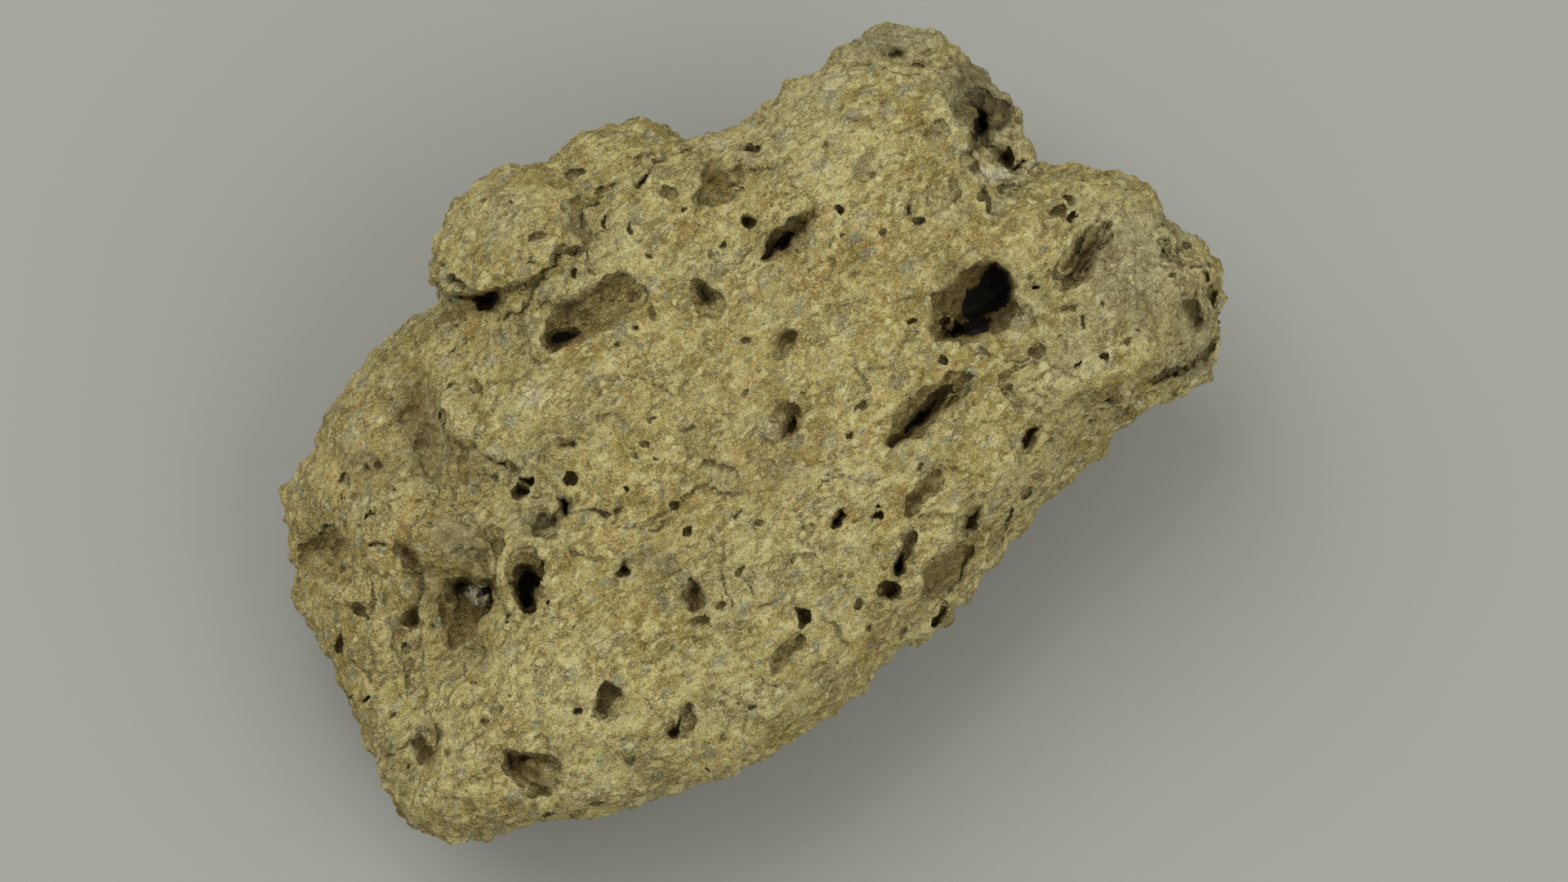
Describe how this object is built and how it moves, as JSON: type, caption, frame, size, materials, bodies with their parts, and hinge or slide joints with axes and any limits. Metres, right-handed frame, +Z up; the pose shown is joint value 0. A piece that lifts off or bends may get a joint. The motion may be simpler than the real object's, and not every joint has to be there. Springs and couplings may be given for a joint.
{
  "type": "tuff stone",
  "caption": "Loose block of lapilli tuff with lumps, ledges and pits, lying on its flattest side.",
  "frame": {"origin": "middle of the footprint, on the surface that the stone lies on", "axes": "+Z up, +X along the stone's longest side, +Y towards the high peak at the back"},
  "size_m": [0.1636, 0.14, 0.0704],
  "materials": {
    "tuff": "rough, dry, porous stone"
  },
  "bodies": {
    "root": {"stone": "tuff"}
  },
  "joints": []
}
